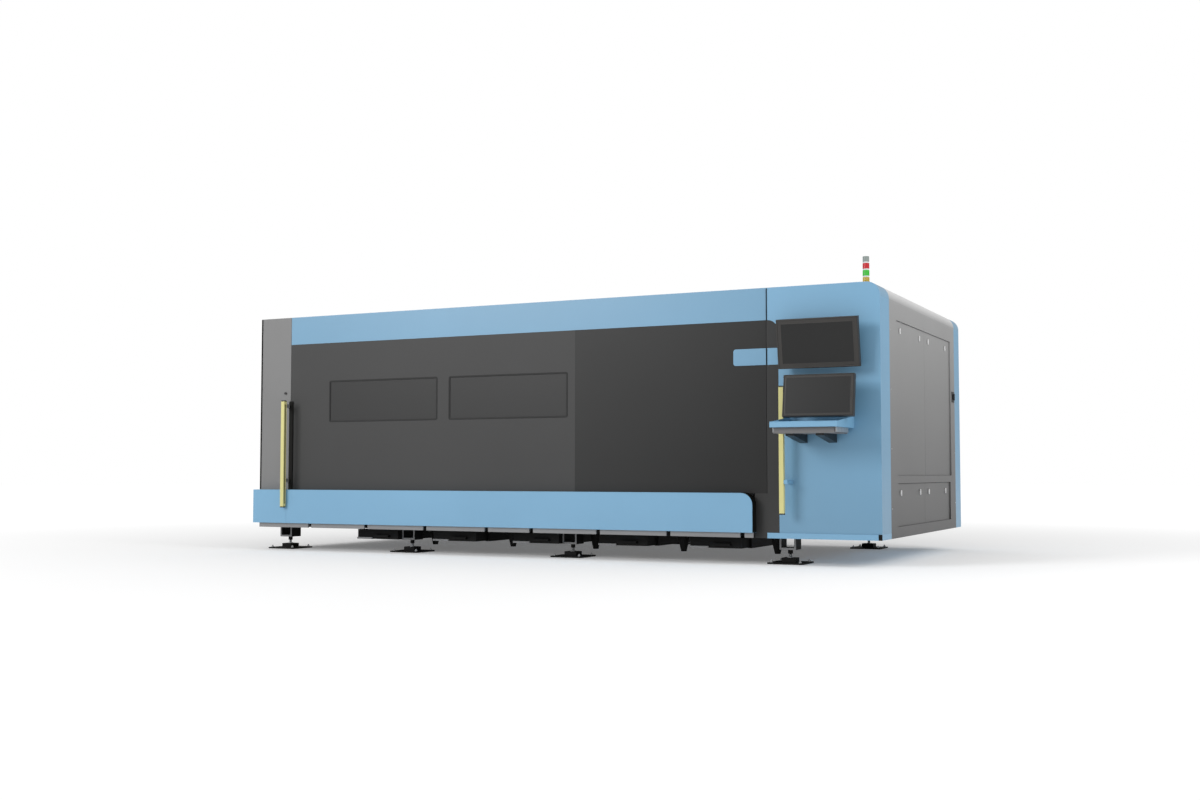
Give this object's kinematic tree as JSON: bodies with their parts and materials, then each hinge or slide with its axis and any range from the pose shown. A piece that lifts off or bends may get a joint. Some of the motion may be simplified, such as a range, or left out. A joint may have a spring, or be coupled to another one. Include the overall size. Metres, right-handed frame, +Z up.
{
  "type": "fiber laser cutting machine",
  "caption": "Enclosed sheet-metal laser cutter with a lifting front door, pull-out cutting table, tilting displays, console tray and beacon.",
  "frame": {"origin": "on the floor under the middle of the whole machine", "axes": "+X to the right along the front, +Y into the depth (the front faces -Y), +Z up"},
  "size_m": [5.681, 3.278, 2.302],
  "materials": {
    "blue_paint": "satin powder coat",
    "dark_paint": "satin dark grey powder coat",
    "grey_paint": "satin grey powder coat",
    "frame_paint": "dull dark grey paint",
    "rail_steel": "ground steel",
    "zinc": "zinc plated",
    "tinted_window": "tinted laser safety sheet",
    "curtain_yellow": "pale yellow coat",
    "black_plastic": "fine grain",
    "bezel_plastic": "fine grain",
    "screen_face": "anti-glare",
    "lens_plastic": "ribbed coloured lenses",
    "pale_plastic": "light grey",
    "brass_tip": "turned copper alloy",
    "source_white": "light powder coat"
  },
  "bodies": {
    "machine": {"levelling_feet": "frame_paint", "bed_frame": "frame_paint", "guide_rails": "rail_steel", "left_column": "grey_paint", "left_band": "blue_paint", "body_panels": "grey_paint", "roof_panels": "blue_paint", "cabinet_front": "blue_paint", "cabinet_trim": "dark_paint", "cabinet_floor": "blue_paint", "side_frame": "grey_paint", "rear_corner": "blue_paint", "light_curtains": "curtain_yellow", "support_brackets": "dark_paint", "console_tray": "blue_paint", "mouse": "black_plastic", "isolator_plate": "black_plastic", "cable_glands": "black_plastic", "extraction_collar": "zinc", "laser_source": "source_white", "electrical_rack": "grey_paint", "tower_body": "pale_plastic", "tower_lenses": "lens_plastic"},
    "door": {"door_skin": "dark_paint", "door_windows": "tinted_window", "door_band": "blue_paint", "door_frame": "dark_paint"},
    "table": {"drawer_front": "blue_paint", "drawer_skirt": "grey_paint", "table_frame": "frame_paint", "slats": "rail_steel"},
    "runner_middle": {"runner_middles": "rail_steel"},
    "gantry": {"gantry_beam": "grey_paint"},
    "carriage": {"carriage": "dark_paint"},
    "head": {"cutting_head": "zinc", "nozzle": "brass_tip"},
    "upper_display": {"upper_monitor": "bezel_plastic", "upper_monitor_screen": "screen_face"},
    "lower_display": {"lower_monitor": "bezel_plastic", "lower_monitor_screen": "screen_face"},
    "keyboard_tray": {"keyboard_drawer": "grey_paint", "keyboard": "black_plastic"},
    "main_switch": {"isolator_knob": "black_plastic"},
    "upper_front_cover_body": {"upper_front_cover": "grey_paint"},
    "upper_front_front_latch_body": {"upper_front_front_latch": "zinc"},
    "upper_front_rear_latch_body": {"upper_front_rear_latch": "zinc"},
    "upper_rear_cover_body": {"upper_rear_cover": "grey_paint"},
    "upper_rear_front_latch_body": {"upper_rear_front_latch": "zinc"},
    "upper_rear_rear_latch_body": {"upper_rear_rear_latch": "zinc"},
    "lower_front_cover_body": {"lower_front_cover": "grey_paint"},
    "lower_front_front_latch_body": {"lower_front_front_latch": "zinc"},
    "lower_front_rear_latch_body": {"lower_front_rear_latch": "zinc"},
    "lower_rear_cover_body": {"lower_rear_cover": "grey_paint"},
    "lower_rear_front_latch_body": {"lower_rear_front_latch": "zinc"},
    "lower_rear_rear_latch_body": {"lower_rear_rear_latch": "zinc"},
    "scrap_1": {"scrap_drawer_1": "frame_paint"},
    "scrap_2": {"scrap_drawer_2": "frame_paint"},
    "scrap_3": {"scrap_drawer_3": "frame_paint"},
    "scrap_4": {"scrap_drawer_4": "frame_paint"},
    "scrap_5": {"scrap_drawer_5": "frame_paint"}
  },
  "joints": [
    {"name": "door_lift", "type": "slide", "parent": "machine", "child": "door", "axis": [0, 0, 1], "range_m": [0, 0.95]},
    {"name": "table_out", "type": "slide", "parent": "machine", "child": "table", "axis": [0, -1, 0], "range_m": [0, 1.5]},
    {"name": "runner_extend", "type": "slide", "parent": "machine", "child": "runner_middle", "axis": [0, -1, 0], "range_m": [0, 0.75]},
    {"name": "gantry_travel", "type": "slide", "parent": "machine", "child": "gantry", "axis": [-1, 0, 0], "range_m": [0, 3.6]},
    {"name": "carriage_travel", "type": "slide", "parent": "gantry", "child": "carriage", "axis": [0, 1, 0], "range_m": [0, 1.34]},
    {"name": "head_lower", "type": "slide", "parent": "carriage", "child": "head", "axis": [0, 0, -1], "range_m": [0, 0.08]},
    {"name": "upper_display_tilt", "type": "hinge", "parent": "machine", "child": "upper_display", "pos_m": [2.398, -1.287, 1.63], "axis": [1, 0, 0], "range_deg": [-13, 6]},
    {"name": "lower_display_tilt", "type": "hinge", "parent": "machine", "child": "lower_display", "pos_m": [2.426, -1.371, 1.23], "axis": [1, 0, 0], "range_deg": [-6, 11]},
    {"name": "keyboard_out", "type": "slide", "parent": "machine", "child": "keyboard_tray", "axis": [0, -1, 0], "range_m": [0, 0.24]},
    {"name": "main_switch_turn", "type": "hinge", "parent": "machine", "child": "main_switch", "pos_m": [2.8275, 1.29, 1.348], "axis": [1, 0, 0], "range_deg": [0, 90]},
    {"name": "upper_front_cover_tilt", "type": "hinge", "parent": "machine", "child": "upper_front_cover_body", "pos_m": [2.8115, -0.23675, 0.6583], "axis": [0, 1, 0], "range_deg": [0, 15]},
    {"name": "upper_front_front_latch_turn", "type": "hinge", "parent": "upper_front_cover_body", "child": "upper_front_front_latch_body", "pos_m": [2.8115, -0.592, 1.758], "axis": [1, 0, 0], "range_deg": [0, 90]},
    {"name": "upper_front_rear_latch_turn", "type": "hinge", "parent": "upper_front_cover_body", "child": "upper_front_rear_latch_body", "pos_m": [2.8115, 0.0535, 1.758], "axis": [1, 0, 0], "range_deg": [0, 90]},
    {"name": "upper_rear_cover_tilt", "type": "hinge", "parent": "machine", "child": "upper_rear_cover_body", "pos_m": [2.8115, 0.71875, 0.6583], "axis": [0, 1, 0], "range_deg": [0, 15]},
    {"name": "upper_rear_front_latch_turn", "type": "hinge", "parent": "upper_rear_cover_body", "child": "upper_rear_front_latch_body", "pos_m": [2.8115, 0.3635, 1.758], "axis": [1, 0, 0], "range_deg": [0, 90]},
    {"name": "upper_rear_rear_latch_turn", "type": "hinge", "parent": "upper_rear_cover_body", "child": "upper_rear_rear_latch_body", "pos_m": [2.8115, 1.009, 1.758], "axis": [1, 0, 0], "range_deg": [0, 90]},
    {"name": "lower_front_cover_tilt", "type": "hinge", "parent": "machine", "child": "lower_front_cover_body", "pos_m": [2.8115, -0.2575, 0.2783], "axis": [0, 1, 0], "range_deg": [0, 15]},
    {"name": "lower_front_front_latch_turn", "type": "hinge", "parent": "lower_front_cover_body", "child": "lower_front_front_latch_body", "pos_m": [2.8115, -0.605, 0.529], "axis": [1, 0, 0], "range_deg": [0, 90]},
    {"name": "lower_front_rear_latch_turn", "type": "hinge", "parent": "lower_front_cover_body", "child": "lower_front_rear_latch_body", "pos_m": [2.8115, 0.025, 0.529], "axis": [1, 0, 0], "range_deg": [0, 90]},
    {"name": "lower_rear_cover_tilt", "type": "hinge", "parent": "machine", "child": "lower_rear_cover_body", "pos_m": [2.8115, 0.6825, 0.2783], "axis": [0, 1, 0], "range_deg": [0, 15]},
    {"name": "lower_rear_front_latch_turn", "type": "hinge", "parent": "lower_rear_cover_body", "child": "lower_rear_front_latch_body", "pos_m": [2.8115, 0.335, 0.529], "axis": [1, 0, 0], "range_deg": [0, 90]},
    {"name": "lower_rear_rear_latch_turn", "type": "hinge", "parent": "lower_rear_cover_body", "child": "lower_rear_rear_latch_body", "pos_m": [2.8115, 0.965, 0.529], "axis": [1, 0, 0], "range_deg": [0, 90]},
    {"name": "scrap_1_out", "type": "slide", "parent": "machine", "child": "scrap_1", "axis": [0, -1, 0], "range_m": [0, 0.6]},
    {"name": "scrap_2_out", "type": "slide", "parent": "machine", "child": "scrap_2", "axis": [0, -1, 0], "range_m": [0, 0.6]},
    {"name": "scrap_3_out", "type": "slide", "parent": "machine", "child": "scrap_3", "axis": [0, -1, 0], "range_m": [0, 0.6]},
    {"name": "scrap_4_out", "type": "slide", "parent": "machine", "child": "scrap_4", "axis": [0, -1, 0], "range_m": [0, 0.6]},
    {"name": "scrap_5_out", "type": "slide", "parent": "machine", "child": "scrap_5", "axis": [0, -1, 0], "range_m": [0, 0.6]}
  ],
  "couplings": [
    {"joint": "runner_extend", "follows": "table_out", "ratio": 0.5}
  ]
}
